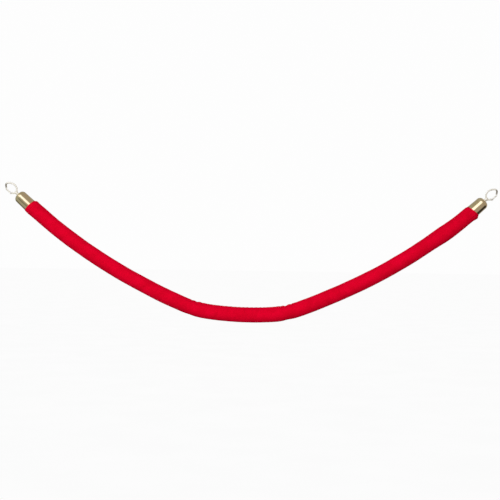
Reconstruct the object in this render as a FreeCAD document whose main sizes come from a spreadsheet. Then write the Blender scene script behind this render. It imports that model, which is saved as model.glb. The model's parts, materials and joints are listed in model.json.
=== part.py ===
import FreeCAD, Part
import math
import os
import re
import Sketcher

# A velvet barrier rope, hanging between two posts. Row frame, in millimetres: the origin is the inside of the
# left hook's bow, where the post's ring bears; +X runs along the span to the right hook, +Z is up, and the
# whole rope lies in the XZ plane.
#
# Each end has a frame of its own: +Z along the cap's axis towards the hook, with its origin on the axis at
# the foot of the hook, and +Y towards the rope's back. Every piece of an end is drawn in that frame.

SIZES = [
    ("span", 1292, "from the left hook's bow to the right hook's bow"),
    ("end_angle", 42.3, "slope of the cap's axis, in degrees"),
    ("rope_diameter", 40, "over the pile"),
    ("sleeve_wall", 2, "velvet with its pile and backing"),
    ("cord_diameter", 8, "inner load cord"),
    ("knot_diameter", 13, "stopper knot of the load cord"),
    ("fit_gap", 0.1, "clearance between pieces of one body"),
    ("left_lead", 57.5, "straight run of the rope out of the left cap"),
    ("right_lead", 51.5, "straight run of the rope out of the right cap"),
    ("cap_diameter", 35.3, "outside of the end cap at its rim"),
    ("cap_shoulder", 33.6, "outside of the end cap where its dome starts"),
    ("cap_wall", 1, "spun brass sheet"),
    ("cap_length", 44.5, "from the foot of the hook to the cap's rim"),
    ("crown_drop", 1.6, "from the foot of the hook to the cap's flat crown"),
    ("dome_radius", 11, "rounding between the cap's side and crown"),
    ("shoulder_length", 8, "stretch in which the velvet narrows into the cap"),
    ("shoulder_round", 8.2, "radius of the velvet's shoulder"),
    ("shoulder_rise", 6.6, "height of that shoulder"),
    ("mouth_lip", 3, "velvet pressed against the inside of the rim"),
    ("lip_slope", 1, "step from there to the sleeve on the plug's waist"),
    ("plug_waist", 27.2, "diameter of the plug where the sleeve is bound"),
    ("plug_flange", 3, "thickness of the plug's foot"),
    ("flange_slope", 4, "length of the slope from the plug's foot to its waist"),
    ("plug_top", 9, "from the foot of the hook to the plug's top"),
    ("head_start", 22, "from the foot of the hook to the underside of the plug's head"),
    ("head_taper", 2.2, "how much slimmer the top of the plug's head is, on the radius"),
    ("sleeve_end", 23, "from the foot of the hook to the cut edge of the sleeve"),
    ("ring_start", 34, "from the foot of the hook to the binding ring's lower edge"),
    ("ring_width", 6, "binding ring"),
    ("ring_wall", 0.3, "binding ring"),
    ("knot_drop", 15.8, "from the foot of the hook to the knot's centre"),
    ("pocket_depth", 22.6, "from the foot of the hook to the floor of the knot's pocket"),
    ("pocket_diameter", 15, "the knot's pocket"),
    ("screw_drop", 16.5, "from the foot of the hook to the screws' axes"),
    ("screw_diameter", 2.8, "shank of a cap screw"),
    ("screw_head", 5.6, "diameter of a cap screw's domed head"),
    ("screw_rise", 1.5, "height of a cap screw's head"),
    ("screw_length", 6.5, "depth of the screw into the plug, from the cap's outside"),
    ("screw_point", 1, "length of the screw's point"),
    ("screw_spread", 90, "angle between the two screws, in degrees"),
    ("stud_diameter", 6, "swivel stud where it turns in the crown"),
    ("running_gap", 0.06, "radial clearance of a turning fit"),
    ("stud_head", 10, "diameter of the stud's head"),
    ("stud_head_height", 3, "the stud's head"),
    ("stud_chamfer", 0.6, "on the stud's head"),
    ("washer_diameter", 10.8, "stud washer"),
    ("washer_height", 1, "stud washer"),
    ("washer_gap", 0.15, "end play between the stud's head and the washer"),
    ("tail_diameter", 4.6, "stud where it is riveted into the hook's neck"),
    ("tail_length", 6, "stud above the foot of the hook"),
    ("tail_chamfer", 0.5, "on the stud's riveted end"),
    ("hook_length", 43, "from the foot of the hook to its tip"),
    ("hook_bar", 4.4, "diameter of the hook's bar"),
    ("neck_diameter", 8.4, "the hook's neck at its swelling"),
    ("neck_foot", 7.2, "the hook's neck where it stands on the crown"),
    ("neck_height", 3.5, "straight part of the neck"),
    ("crotch_along", 9.8, "top of the swelling where the hook's spine and arm part"),
    ("crotch_rise", 5.6, "half the length of that swelling"),
    ("hinge_across", -10.4, "gate pin, across the hook"),
    ("hinge_along", 15.2, "gate pin, along the hook"),
    ("pin_diameter", 2, "gate pin"),
    ("pin_head", 3.2, "diameter of the gate pin's heads"),
    ("pin_head_height", 0.5, "each head of the gate pin"),
    ("lug_radius", 2.4, "rounded lug on the arm that holds the pin"),
    ("lug_width", 1.6, "thickness of the lug"),
    ("lug_gap", 0.05, "from the hook's middle plane to the lug"),
    ("knuckle_radius", 2.7, "rounded cheeks of the gate"),
    ("knuckle_width", 5.2, "over the gate's cheeks"),
    ("slot_width", 3.6, "between the gate's cheeks"),
    ("slot_radius", 3.05, "room around the pin for the lug and spring"),
    ("gate_bar", 3.8, "diameter of the gate's bar"),
    ("bar_start", 3, "from the gate pin to the start of the gate's bar"),
    ("root_length", 5.4, "from the gate pin to the end of the gate's root"),
    ("root_step", 0.3, "how far the root lies inside the cheeks, each side"),
    ("root_round", 1.4, "rounding of the root's long edges"),
    ("gate_length", 16.4, "from the gate pin to the gate's tip"),
    ("lap_along", 27.7, "foot of the lap where the gate meets the hook's nose"),
    ("lap_gap", 0.1, "half of the gap between the lap's two faces"),
    ("tip_gap", 0.4, "between the gate's tip and the shoulder of the nose"),
    ("wire_diameter", 0.5, "gate spring"),
    ("coil_radius", 1.6, "centre line of the gate spring's coil"),
    ("coil_pitch", 0.53, "gate spring"),
    ("coil_rise", 1, "length of the coil along the pin"),
    ("coil_top", 1.4, "start of the coil, towards the hook's back"),
    ("leg_length", 4.8, "each leg of the gate spring"),
    ("leg_gap", 0.2, "room round the spring's leg in the gate"),
    ("overcut", 1, "how far a cutter runs past a face"),
]

# Points of the rope's route between its straight leads, as (X, Z): it sags unevenly, with a soft bend at each
# end of the nearly level stretch at the bottom.
SAG_POINTS = [
    (182, -152.5),
    (286, -220),
    (384, -272),
    (445, -300.5),
    (503, -324.5),
    (562, -333),
    (620, -336.5),
    (680, -337),
    (744, -331.5),
    (810, -307.5),
    (880, -278),
    (970, -234),
    (1050, -188),
    (1124, -139),
]

# The hook's bar in the end's frame, as (across, along, radius of the bend there). It leaves the neck, runs
# up the spine, over the bow and down to the nose.
HOOK_BENDS = [
    (0, 3, 0),
    (12.8, 15.0, 15),
    (11.9, 29.5, 22),
    (0.5, 44.3, 6),
    (-10.4, 30.2, 0),
]

ARC_SHARE = 0.45  # the part of the shorter run that an arc of the rope's route takes up

doc = FreeCAD.newDocument("VelvetBarrierRope")
sheet = doc.addObject("Spreadsheet::Sheet", "Sizes")
for line, (alias, value, meaning) in enumerate(SIZES, start=1):
    sheet.set(f"A{line}", alias)
    sheet.set(f"B{line}", str(value))
    sheet.set(f"C{line}", meaning)
    sheet.setAlias(f"B{line}", alias)
doc.recompute()
ALIASES = {alias for alias, _, _ in SIZES}


def bound(text):
    """An expression in terms of the sheet's aliases, written as the document wants it."""
    return re.sub(r"[a-z_]+", lambda word: f"Sizes.{word[0]}" if word[0] in ALIASES else word[0], text)


def value(text):
    """The number that an expression in the sheet's aliases comes to."""
    return float(sheet.evalExpression(bound(text)))


# ---------------------------------------------------------------- sketches and bodies


def origin_feature(body, role):
    return next(feature for feature in body.Origin.OriginFeatures if feature.Role == role)


def corner_arc(start, end, radius):
    """The arc of the given radius from start to end that turns left."""
    chord = end - start
    rise = math.sqrt(radius * radius - chord.Length * chord.Length / 4)
    side = FreeCAD.Vector(-chord.y, chord.x, 0).normalize()
    centre = start + chord / 2 + side * rise
    first = math.atan2(start.y - centre.y, start.x - centre.x)
    last = math.atan2(end.y - centre.y, end.x - centre.x)
    return Part.ArcOfCircle(Part.Circle(centre, FreeCAD.Vector(0, 0, 1), radius), first, last)


def outline(body, name, corners):
    """A closed sketch on the body's XZ plane, drawn anticlockwise. A corner is (across, along), as
    expressions. A third item is the radius of an arc that leads to the next corner in place of a line; it
    turns left, or right if a fourth item says hollow."""
    sketch = body.newObject("Sketcher::SketchObject", name)
    sketch.AttachmentSupport = (origin_feature(body, "XZ_Plane"), [""])
    sketch.MapMode = "FlatFace"
    points = [FreeCAD.Vector(value(corner[0]), value(corner[1]), 0) for corner in corners]
    ends = []
    for number, corner in enumerate(corners):
        start, end = points[number], points[(number + 1) % len(points)]
        if len(corner) == 4:
            edge = sketch.addGeometry(corner_arc(end, start, value(corner[2])))
            ends.append((edge, 2, 1))
        elif len(corner) == 3:
            edge = sketch.addGeometry(corner_arc(start, end, value(corner[2])))
            ends.append((edge, 1, 2))
        else:
            edge = sketch.addGeometry(Part.LineSegment(start, end))
            ends.append((edge, 1, 2))
    for number, corner in enumerate(corners):
        edge, first, _ = ends[number]
        before, _, last = ends[number - 1]
        sketch.addConstraint(Sketcher.Constraint("Coincident", before, last, edge, first))
        if corner[0] == "0":
            sketch.addConstraint(Sketcher.Constraint("PointOnObject", edge, first, -2))
        else:
            bind(sketch, Sketcher.Constraint("DistanceX", -1, 1, edge, first, points[number].x), corner[0])
        if corner[1] == "0":
            sketch.addConstraint(Sketcher.Constraint("PointOnObject", edge, first, -1))
        else:
            bind(sketch, Sketcher.Constraint("DistanceY", -1, 1, edge, first, points[number].y), corner[1])
        if len(corner) > 2:
            bind(sketch, Sketcher.Constraint("Radius", edge, value(corner[2])), corner[2])
    return sketch


def bind(sketch, constraint, text):
    number = sketch.addConstraint(constraint)
    sketch.setExpression(f"Constraints[{number}]", bound(text))


def turned(name, corners):
    """A body turned about its Z axis from an outline."""
    body = doc.addObject("PartDesign::Body", name)
    sketch = outline(body, name + "_outline", corners)
    revolution = body.newObject("PartDesign::Revolution", name + "_turning")
    revolution.Profile = sketch
    revolution.ReferenceAxis = (sketch, ["V_Axis"])
    revolution.Angle = 360
    sketch.Visibility = False
    return body


def cross_outline(body, name, corners):
    """An outline whose own level axis is the first screw's axis, so it can be turned about that."""
    sketch = outline(body, name, corners)
    sketch.setExpression("AttachmentOffset.Base.y", bound("-screw_drop"))
    return sketch


def twice(body, feature, name):
    """Repeats a feature of the body at the second screw."""
    pattern = body.newObject("PartDesign::PolarPattern", name)
    pattern.Originals = [feature]
    pattern.Axis = (origin_feature(body, "Z_Axis"), [""])
    pattern.Occurrences = 2
    pattern.setExpression("Angle", bound("screw_spread"))
    body.Tip = pattern


SCREW_FOOT = "(screw_drop + screw_head / 2)"  # depth of the side of a screw's head that is nearest the rim


def cap_side(depth):
    """The cap's outside radius at a depth below the foot of the hook; its side tapers towards the dome."""
    dome = "(crown_drop + dome_radius)"
    slope = f"(cap_diameter - cap_shoulder) / 2 / (cap_length - {dome})"
    return f"cap_shoulder / 2 + ({depth} - {dome}) * {slope}"


def screw_holes(body, name, radius):
    """Two holes for the cap screws, through the side of a turned body."""
    doc.recompute()
    before = body.Shape.Volume
    seat = cap_side(SCREW_FOOT)
    inner, outer = f"{seat} - screw_length", f"{seat} + screw_rise"
    corners = [(inner, "0"), (inner, radius), (outer, radius), (outer, "0")]
    sketch = cross_outline(body, name + "_screw_hole", corners)
    groove = body.newObject("PartDesign::Groove", name + "_first_hole")
    groove.Profile = sketch
    groove.ReferenceAxis = (sketch, ["H_Axis"])
    groove.Angle = 360
    doc.recompute()
    twice(body, groove, name + "_holes")
    doc.recompute()
    assert body.Shape.Volume < before - 1, f"{name} has no screw holes"


# ---------------------------------------------------------------- primitives in an end's frame

ACROSS, BACK, ALONG = FreeCAD.Vector(1, 0, 0), FreeCAD.Vector(0, 1, 0), FreeCAD.Vector(0, 0, 1)


def primitive(kind, name, position=(0, 0, 0), direction=ALONG, **sizes):
    """A Part primitive with its sizes bound to the sheet, pointing along a direction."""
    made = doc.addObject(kind, name)
    for key, text in sizes.items():
        made.setExpression(key, bound(text))
    place = FreeCAD.Vector(*[value(str(part)) for part in position])
    made.Placement = FreeCAD.Placement(place, FreeCAD.Rotation(ALONG, direction))
    return made


def combined(kind, name, pieces):
    made = doc.addObject(kind, name)
    made.Shapes = pieces
    return made


def cut(name, base, tool):
    made = doc.addObject("Part::Cut", name)
    made.Base = base
    made.Tool = tool
    return made


def block(name, low, high):
    """A box between two corners, which are expressions."""
    lengths = dict(zip(("Length", "Width", "Height"), (f"({b}) - ({a})" for a, b in zip(low, high))))
    return primitive("Part::Box", name, low, **lengths)


def rounded_along(name, box, radius):
    """A box with its four long edges rounded."""
    doc.recompute()
    made = doc.addObject("Part::Fillet", name)
    made.Base = box
    long_edges = [number for number, edge in enumerate(box.Shape.Edges, start=1)
                  if abs(edge.tangentAt(edge.FirstParameter).z) > 0.99]
    made.Edges = [(number, value(radius), value(radius)) for number in long_edges]
    return made


# ---------------------------------------------------------------- wires


def bent_wire(points, radius_at):
    """Straight runs joined by tangent arcs, whose radii come from a function of the corner's number, the two
    runs and the turn."""
    edges = []
    start = points[0]
    for number in range(1, len(points) - 1):
        before, corner, after = points[number - 1], points[number], points[number + 1]
        inward = (corner - before).normalize()
        outward = (after - corner).normalize()
        turn = inward.getAngle(outward)
        radius = radius_at(number, (corner - before).Length, (after - corner).Length, turn)
        reach = radius * math.tan(turn / 2)
        first, last = corner - inward * reach, corner + outward * reach
        middle_way = (outward - inward).normalize()
        middle = corner + middle_way * (radius / math.cos(turn / 2) - radius)
        edges.append(Part.LineSegment(start, first).toShape())
        edges.append(Part.Arc(first, middle, last).toShape())
        start = last
    edges.append(Part.LineSegment(start, points[-1]).toShape())
    return Part.Wire(edges)


def swept(name, wire_object, diameter):
    """A round bar of a bound diameter along a wire."""
    section = doc.addObject("Part::Circle", name + "_section")
    section.setExpression("Radius", bound(f"({diameter}) / 2"))
    first = wire_object.Shape.OrderedEdges[0]
    heading = first.tangentAt(first.FirstParameter)
    section.Placement = FreeCAD.Placement(wire_object.Shape.OrderedVertexes[0].Point,
                                          FreeCAD.Rotation(ALONG, heading))
    bar = doc.addObject("Part::Sweep", name)
    bar.Sections = [section]
    bar.Spine = (wire_object, [])
    bar.Solid = True
    doc.recompute()
    expected = wire_object.Shape.Length * math.pi * value(diameter) ** 2 / 4
    assert abs(bar.Shape.Volume / expected - 1) < 0.002, f"{name} has the wrong volume"
    return bar


# ---------------------------------------------------------------- where the two ends lie

END_ANGLE = math.radians(value("end_angle"))
SEAT_REACH = value("hook_length - hook_bar")
LEFT_AXIS = FreeCAD.Vector(-math.cos(END_ANGLE), 0, math.sin(END_ANGLE))
RIGHT_AXIS = FreeCAD.Vector(math.cos(END_ANGLE), 0, math.sin(END_ANGLE))
LEFT_FOOT = LEFT_AXIS * -SEAT_REACH
RIGHT_FOOT = FreeCAD.Vector(value("span"), 0, 0) - RIGHT_AXIS * SEAT_REACH
QUARTER = 90


def end_placement(side, twist=0):
    """The end's frame in the row's frame, turned about its own axis by twist degrees first."""
    lean = (-1 if side == "left" else 1) * (QUARTER - value("end_angle"))
    foot = LEFT_FOOT if side == "left" else RIGHT_FOOT
    rotation = FreeCAD.Rotation(BACK, lean).multiply(FreeCAD.Rotation(ALONG, twist))
    return FreeCAD.Placement(foot, rotation)


def hook_twist(side):
    """The hook's spine is uppermost on both ends."""
    return 0 if side == "left" else 2 * QUARTER


# ---------------------------------------------------------------- the rope


def rope_route():
    inset = value("cap_length + shoulder_length")
    left_start, right_start = LEFT_FOOT - LEFT_AXIS * inset, RIGHT_FOOT - RIGHT_AXIS * inset
    left_corner = LEFT_FOOT - LEFT_AXIS * value("cap_length + left_lead")
    right_corner = RIGHT_FOOT - RIGHT_AXIS * value("cap_length + right_lead")
    sag = [FreeCAD.Vector(x, 0, z) for x, z in SAG_POINTS]
    points = [left_start, left_corner] + sag + [right_corner, right_start]

    def radius_at(number, before, after, turn):
        radius = ARC_SHARE * min(before, after) / math.tan(turn / 2)
        print(f"route point {number}: run {before:.0f} mm, turn {math.degrees(turn):.1f} deg, "
              f"radius {radius:.0f} mm")
        assert radius > 5 * value("rope_diameter"), "the route bends too sharply"
        return radius

    route = doc.addObject("Part::Feature", "rope_route")
    route.Shape = bent_wire(points, radius_at)
    print("route points:", [(round(point.x, 1), round(point.z, 1)) for point in points])
    print(f"route length {route.Shape.Length:.1f} mm")
    return route


def sleeve_neck(side):
    """The end of the sleeve, gathered over the plug's foot and pushed up inside the cap."""
    outer, waist = "rope_diameter / 2", "plug_waist / 2 + fit_gap"
    mouth = cap_side("(cap_length - mouth_lip)") + " - cap_wall"
    inner = "rope_diameter / 2 - sleeve_wall"
    thin = "plug_waist / 2 + fit_gap + sleeve_wall"
    rim = "-cap_length"
    foot = "-(cap_length + shoulder_length)"
    neck = turned(f"{side}_sleeve_neck", [
        (inner, foot),
        (outer, foot),
        (outer, f"{rim} - shoulder_rise", "shoulder_round"),
        (mouth, rim),
        (mouth, f"{rim} + mouth_lip"),
        (thin, f"{rim} + mouth_lip + lip_slope"),
        (thin, "-sleeve_end"),
        (waist, "-sleeve_end"),
        (waist, f"{foot} + plug_flange + flange_slope"),
        (inner, f"{foot} + plug_flange"),
    ])
    neck.Placement = end_placement(side)
    return neck


def velvet_sleeve(route):
    """The sewn velvet tube with its two gathered ends, as one piece."""
    outside = swept("sleeve_outside", route, "rope_diameter")
    inside = swept("sleeve_inside", route, "rope_diameter - 2 * sleeve_wall")
    tube = cut("sleeve_tube", outside, inside)
    return combined("Part::MultiFuse", "velvet_sleeve", [tube, sleeve_neck("left"), sleeve_neck("right")])


def foam_core(route):
    """The filled core from plug to plug, with a bore for the load cord."""
    outside = swept("core_outside", route, "rope_diameter - 2 * (sleeve_wall + fit_gap)")
    bore = swept("core_bore", route, "cord_diameter + 2 * fit_gap")
    return cut("foam_core", outside, bore)


def load_cord(route):
    """The cord that carries the pull between the plugs: it runs up through each plug to a stopper knot."""
    pieces = [swept("cord_run", route, "cord_diameter")]
    for side in ("left", "right"):
        foot = "cap_length + shoulder_length"
        tail = primitive("Part::Cylinder", f"{side}_cord_tail", (0, 0, f"-({foot})"),
                         Radius="cord_diameter / 2", Height=f"{foot} - knot_drop")
        knot = primitive("Part::Sphere", f"{side}_knot", (0, 0, "-knot_drop"), Radius="knot_diameter / 2")
        for piece in (tail, knot):
            piece.Placement = end_placement(side) * piece.Placement
        pieces += [tail, knot]
    return combined("Part::MultiFuse", "load_cord", pieces)


# ---------------------------------------------------------------- the pieces fixed to each end


def end_cap(side):
    """A spun brass cup: a slightly tapered side, a rounded dome and a flat crown with a hole for the stud."""
    outer, inner = "cap_diameter / 2", "cap_diameter / 2 - cap_wall"
    crown, under = "-crown_drop", "-crown_drop - cap_wall"
    hole = "stud_diameter / 2 + running_gap"
    cap = turned(f"{side}_end_cap", [
        (outer, "-cap_length"),
        ("cap_shoulder / 2", "-crown_drop - dome_radius", "dome_radius"),
        ("cap_shoulder / 2 - dome_radius", crown),
        (hole, crown),
        (hole, under),
        ("cap_shoulder / 2 - dome_radius", under, "dome_radius - cap_wall", "hollow"),
        ("cap_shoulder / 2 - cap_wall", "-crown_drop - dome_radius"),
        (inner, "-cap_length"),
    ])
    screw_holes(cap, cap.Name, "screw_diameter / 2 + fit_gap")
    return cap


def end_plug(side):
    """A turned wooden plug: a foot and a waist that the sleeve is bound to, a head that the cap fits over,
    a bore for the load cord and a pocket for its knot."""
    foot = "-(cap_length + shoulder_length)"
    flange = "rope_diameter / 2 - sleeve_wall - fit_gap"
    waist = "plug_waist / 2"
    head_top = "cap_shoulder / 2 - cap_wall - fit_gap"
    bore = "cord_diameter / 2 + fit_gap"
    pocket = "pocket_diameter / 2"
    plug = turned(f"{side}_end_plug", [
        (bore, foot),
        (flange, foot),
        (flange, f"{foot} + plug_flange - fit_gap"),
        (waist, f"{foot} + plug_flange + flange_slope - fit_gap"),
        (waist, "-head_start"),
        (cap_side("head_start") + " - cap_wall - fit_gap", "-head_start"),
        (head_top, "-crown_drop - dome_radius"),
        (f"{head_top} - head_taper", "-plug_top"),
        (pocket, "-plug_top"),
        (pocket, "-pocket_depth"),
        (bore, "-pocket_depth"),
    ])
    screw_holes(plug, plug.Name, "screw_diameter / 2")
    return plug


def binding_ring(side):
    """A thin metal band that clamps the sleeve on the plug's waist."""
    inner = "plug_waist / 2 + fit_gap + sleeve_wall"
    return turned(f"{side}_binding_ring", [
        (inner, "-ring_start"),
        (f"{inner} + ring_wall", "-ring_start"),
        (f"{inner} + ring_wall", "-ring_start + ring_width"),
        (inner, "-ring_start + ring_width"),
    ])


def cap_screws(side):
    """Two domed screws through the cap's side into the plug."""
    screws = doc.addObject("PartDesign::Body", f"{side}_cap_screws")
    seat = cap_side(SCREW_FOOT)
    sketch = cross_outline(screws, f"{side}_screw_outline", [
        (f"{seat} + screw_rise", "0", "screw_head / 2"),
        (seat, "screw_head / 2"),
        (seat, "screw_diameter / 2"),
        (f"{seat} - screw_length + screw_point", "screw_diameter / 2"),
        (f"{seat} - screw_length + fit_gap", "0"),
    ])
    turning = screws.newObject("PartDesign::Revolution", f"{side}_first_screw")
    turning.Profile = sketch
    turning.ReferenceAxis = (sketch, ["H_Axis"])
    turning.Angle = 360
    doc.recompute()
    twice(screws, turning, f"{side}_screws")
    return screws


def stud_washer(side):
    """A washer between the stud's head and the inside of the crown."""
    top = "-crown_drop - cap_wall"
    inner, outer = "stud_diameter / 2 + running_gap", "washer_diameter / 2"
    return turned(f"{side}_stud_washer", [
        (inner, f"{top} - washer_height"),
        (outer, f"{top} - washer_height"),
        (outer, top),
        (inner, top),
    ])


# ---------------------------------------------------------------- the snap hook


def swivel_stud(side):
    """The headed stud that turns in the crown; its tail is riveted into the hook's neck."""
    seat = "-crown_drop - cap_wall - washer_height - washer_gap"
    shoulder = "-crown_drop + washer_gap"
    return turned(f"{side}_swivel_stud", [
        ("0", f"{seat} - stud_head_height"),
        ("stud_head / 2 - stud_chamfer", f"{seat} - stud_head_height"),
        ("stud_head / 2", f"{seat} - stud_head_height + stud_chamfer"),
        ("stud_head / 2", seat),
        ("stud_diameter / 2", seat),
        ("stud_diameter / 2", shoulder),
        ("tail_diameter / 2", shoulder),
        ("tail_diameter / 2", "tail_length - tail_chamfer"),
        ("tail_diameter / 2 - tail_chamfer", "tail_length"),
        ("0", "tail_length"),
    ])


def hook_blank(side):
    """The cast bar of the hook with its neck: the spine, bow and nose in one sweep, and the short arm."""
    path = doc.addObject("Part::Feature", f"{side}_hook_path")
    points = [FreeCAD.Vector(across, 0, along) for across, along, _ in HOOK_BENDS]
    path.Shape = bent_wire(points, lambda number, before, after, turn: HOOK_BENDS[number][2])
    bar = swept(f"{side}_hook_bar", path, "hook_bar")
    nose = primitive("Part::Sphere", f"{side}_nose", points[-1], Radius="hook_bar / 2")
    root = points[0]
    hinge = FreeCAD.Vector(value("hinge_across"), 0, value("hinge_along"))
    arm = primitive("Part::Cylinder", f"{side}_arm", root, hinge - root, Radius="hook_bar / 2")
    arm.Height = (hinge - root).Length
    neck = primitive("Part::Cylinder", f"{side}_neck", (0, 0, "-crown_drop + washer_gap"),
                     Radius="neck_foot / 2", Height="neck_height")
    crotch = primitive("Part::Ellipsoid", f"{side}_crotch", (0, 0, "crotch_along - crotch_rise"),
                       Radius1="crotch_rise", Radius2="neck_diameter / 2")
    lug = primitive("Part::Cylinder", f"{side}_lug", ("hinge_across", "-lug_gap", "hinge_along"), -BACK,
                    Radius="lug_radius", Height="lug_width")
    return combined("Part::MultiFuse", f"{side}_hook_blank", [bar, nose, arm, neck, crotch, lug])


def spring_line():
    """The gate spring's centre line: the leg on the arm's inner side, the coil and the leg in the gate."""
    hinge = FreeCAD.Vector(value("hinge_across"), 0, value("hinge_along"))
    neck = FreeCAD.Vector(HOOK_BENDS[0][0], 0, HOOK_BENDS[0][1])
    arm_angle = math.degrees(math.atan2((neck - hinge).z, (neck - hinge).x))
    coil = Part.makeHelix(value("coil_pitch"), value("coil_rise"), value("coil_radius"))
    turn = FreeCAD.Rotation(ACROSS, QUARTER).multiply(FreeCAD.Rotation(ALONG, arm_angle + QUARTER))
    coil.Placement = FreeCAD.Placement(hinge + BACK * value("coil_top"), turn)
    edge = coil.Edges[0]
    begin, end = edge.valueAt(edge.FirstParameter), edge.valueAt(edge.LastParameter)
    arriving, leaving = edge.tangentAt(edge.FirstParameter), edge.tangentAt(edge.LastParameter)
    arm_leg = Part.makeLine(begin - arriving * value("leg_length"), begin)
    gate_leg = Part.makeLine(end, end + leaving * value("leg_length"))
    return Part.Wire([arm_leg, edge, gate_leg])


def leg_bore(side, word, number, radius):
    """Room for one leg of the gate spring, a little longer than the leg."""
    leg = spring_line().OrderedEdges[number]
    inner, outer = leg.valueAt(leg.FirstParameter), leg.valueAt(leg.LastParameter)
    if number == 0:
        inner, outer = outer, inner
    return primitive("Part::Cylinder", f"{side}_{word}_leg_bore", inner, outer - inner,
                     Radius=radius, Height="leg_length + 2 * leg_gap")


def hook_body(side):
    """The hook after drilling and milling: room for the gate's cheeks beside the lug, the pin's hole, the lap
    in the nose, a groove for the spring's leg and the bore for the stud's tail."""
    hinge = ("hinge_across", "hinge_along")
    wide = "hook_bar"
    room = "slot_radius + fit_gap"
    cheek_back = primitive("Part::Cylinder", f"{side}_room_behind", (hinge[0], wide, hinge[1]), -BACK,
                           Radius=room, Height=f"{wide} + lug_gap")
    front = (hinge[0], "-lug_gap - lug_width", hinge[1])
    cheek_front = primitive("Part::Cylinder", f"{side}_room_before", front, -BACK, Radius=room, Height=wide)
    hole = primitive("Part::Cylinder", f"{side}_lug_hole", (hinge[0], wide, hinge[1]), -BACK,
                     Radius="pin_diameter / 2", Height=f"2 * {wide}")
    bore = primitive("Part::Cylinder", f"{side}_tail_bore", (0, 0, "-crown_drop - overcut"),
                     Radius="tail_diameter / 2", Height="crown_drop + overcut + tail_length")
    lap = block(f"{side}_nose_lap", ("hinge_across - lap_gap", "-hook_bar", "lap_along - overcut"),
                ("hinge_across + hook_bar + overcut", "hook_bar", "hinge_along + gate_length + tip_gap"))
    groove = leg_bore(side, "arm", 0, "wire_diameter / 2 + fit_gap")
    tools = combined("Part::MultiFuse", f"{side}_hook_cuts",
                     [cheek_back, cheek_front, hole, bore, lap, groove])
    return cut(f"{side}_hook_body", hook_blank(side), tools)


def gate_pin(side):
    """The rivet that the gate turns on, with a flat head outside each cheek."""
    reach = "knuckle_width / 2 + washer_gap"
    place = ("hinge_across", f"-({reach})", "hinge_along")
    shank = primitive("Part::Cylinder", f"{side}_pin_shank", place, BACK,
                      Radius="pin_diameter / 2", Height=f"2 * ({reach})")
    heads = [primitive("Part::Cylinder", f"{side}_{word}_pin_head", (place[0], start, place[2]), BACK,
                       Radius="pin_head / 2", Height="pin_head_height")
             for word, start in (("front", f"-({reach}) - pin_head_height"), ("back", reach))]
    return combined("Part::MultiFuse", f"{side}_gate_pin", [shank] + heads)


def hook_gate(side):
    """The gate: two cheeks on the pin, a block behind them, and a bar whose tip laps the nose from inside."""
    across, along = "hinge_across", "hinge_along"
    half = "knuckle_width / 2"
    knuckle = primitive("Part::Cylinder", f"{side}_knuckle", (across, f"-{half}", along), BACK,
                        Radius="knuckle_radius", Height="knuckle_width")
    block_root = block(f"{side}_gate_block", (f"{across} - gate_bar / 2", f"-{half} + root_step", along),
                       (f"{across} + gate_bar / 2", f"{half} - root_step", f"{along} + root_length"))
    root = rounded_along(f"{side}_gate_root", block_root, "root_round")
    bar = primitive("Part::Cylinder", f"{side}_gate_bar", (across, 0, f"{along} + bar_start"),
                    Radius="gate_bar / 2", Height="gate_length - bar_start")
    blank = combined("Part::MultiFuse", f"{side}_gate_blank", [knuckle, root, bar])
    slot = primitive("Part::Cylinder", f"{side}_gate_slot", (across, "-slot_width / 2", along), BACK,
                     Radius="slot_radius", Height="slot_width")
    hole = primitive("Part::Cylinder", f"{side}_gate_hole", (across, "-hook_bar", along), BACK,
                     Radius="pin_diameter / 2 + running_gap", Height="2 * hook_bar")
    lap = block(f"{side}_gate_lap", (f"{across} - gate_bar", "-hook_bar", "lap_along"),
                (f"{across} + lap_gap", "hook_bar", f"{along} + gate_length + overcut"))
    leg_hole = leg_bore(side, "gate", -1, "wire_diameter / 2 + leg_gap")
    tools = combined("Part::MultiFuse", f"{side}_gate_cuts", [slot, hole, lap, leg_hole])
    return cut(f"{side}_hook_gate", blank, tools)


def gate_spring(side):
    """A torsion spring round the pin: one leg lies on the arm and the other pushes the gate shut."""
    line = spring_line()
    first = line.OrderedEdges[0]
    heading = first.tangentAt(first.FirstParameter)
    start = first.valueAt(first.FirstParameter)
    section = Part.Wire(Part.makeCircle(value("wire_diameter / 2"), start, heading))
    spring = doc.addObject("Part::Feature", f"{side}_gate_spring")
    spring.Shape = line.makePipeShell([section], True, False)
    return spring


# ---------------------------------------------------------------- assembly

route = rope_route()
screws_twist = value("screw_spread") / 2  # the cap's two screws straddle the rope's back
parts = [velvet_sleeve(route), foam_core(route), load_cord(route)]
for side in ("left", "right"):
    for make in (end_cap, end_plug, binding_ring, cap_screws, stud_washer):
        piece = make(side)
        piece.Placement = end_placement(side, screws_twist)
        parts.append(piece)
    for make in (swivel_stud, hook_body, gate_pin, hook_gate, gate_spring):
        piece = make(side)
        piece.Placement = end_placement(side, hook_twist(side))
        parts.append(piece)
for part in parts:
    part.Label = part.Name
doc.recompute()

for made in doc.Objects:
    assert not {"Invalid", "Error"} & set(made.State), f"{made.Name} has failed"
for part in parts:
    assert not part.Shape.isNull() and part.Shape.isValid(), f"{part.Name} has no valid shape"

os.makedirs("parts", exist_ok=True)
for part in parts:
    part.Shape.exportStep(f"parts/{part.Label}.step")
    size = part.Shape.BoundBox
    print(f"{part.Label}: {len(part.Shape.Solids)} solid(s), {part.Shape.Volume:.0f} mm3, "
          f"{size.XLength:.1f} x {size.YLength:.1f} x {size.ZLength:.1f} mm")
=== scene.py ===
import json
import math

import bmesh
import bpy
import numpy as np
from mathutils import Matrix, Vector, noise


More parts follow.
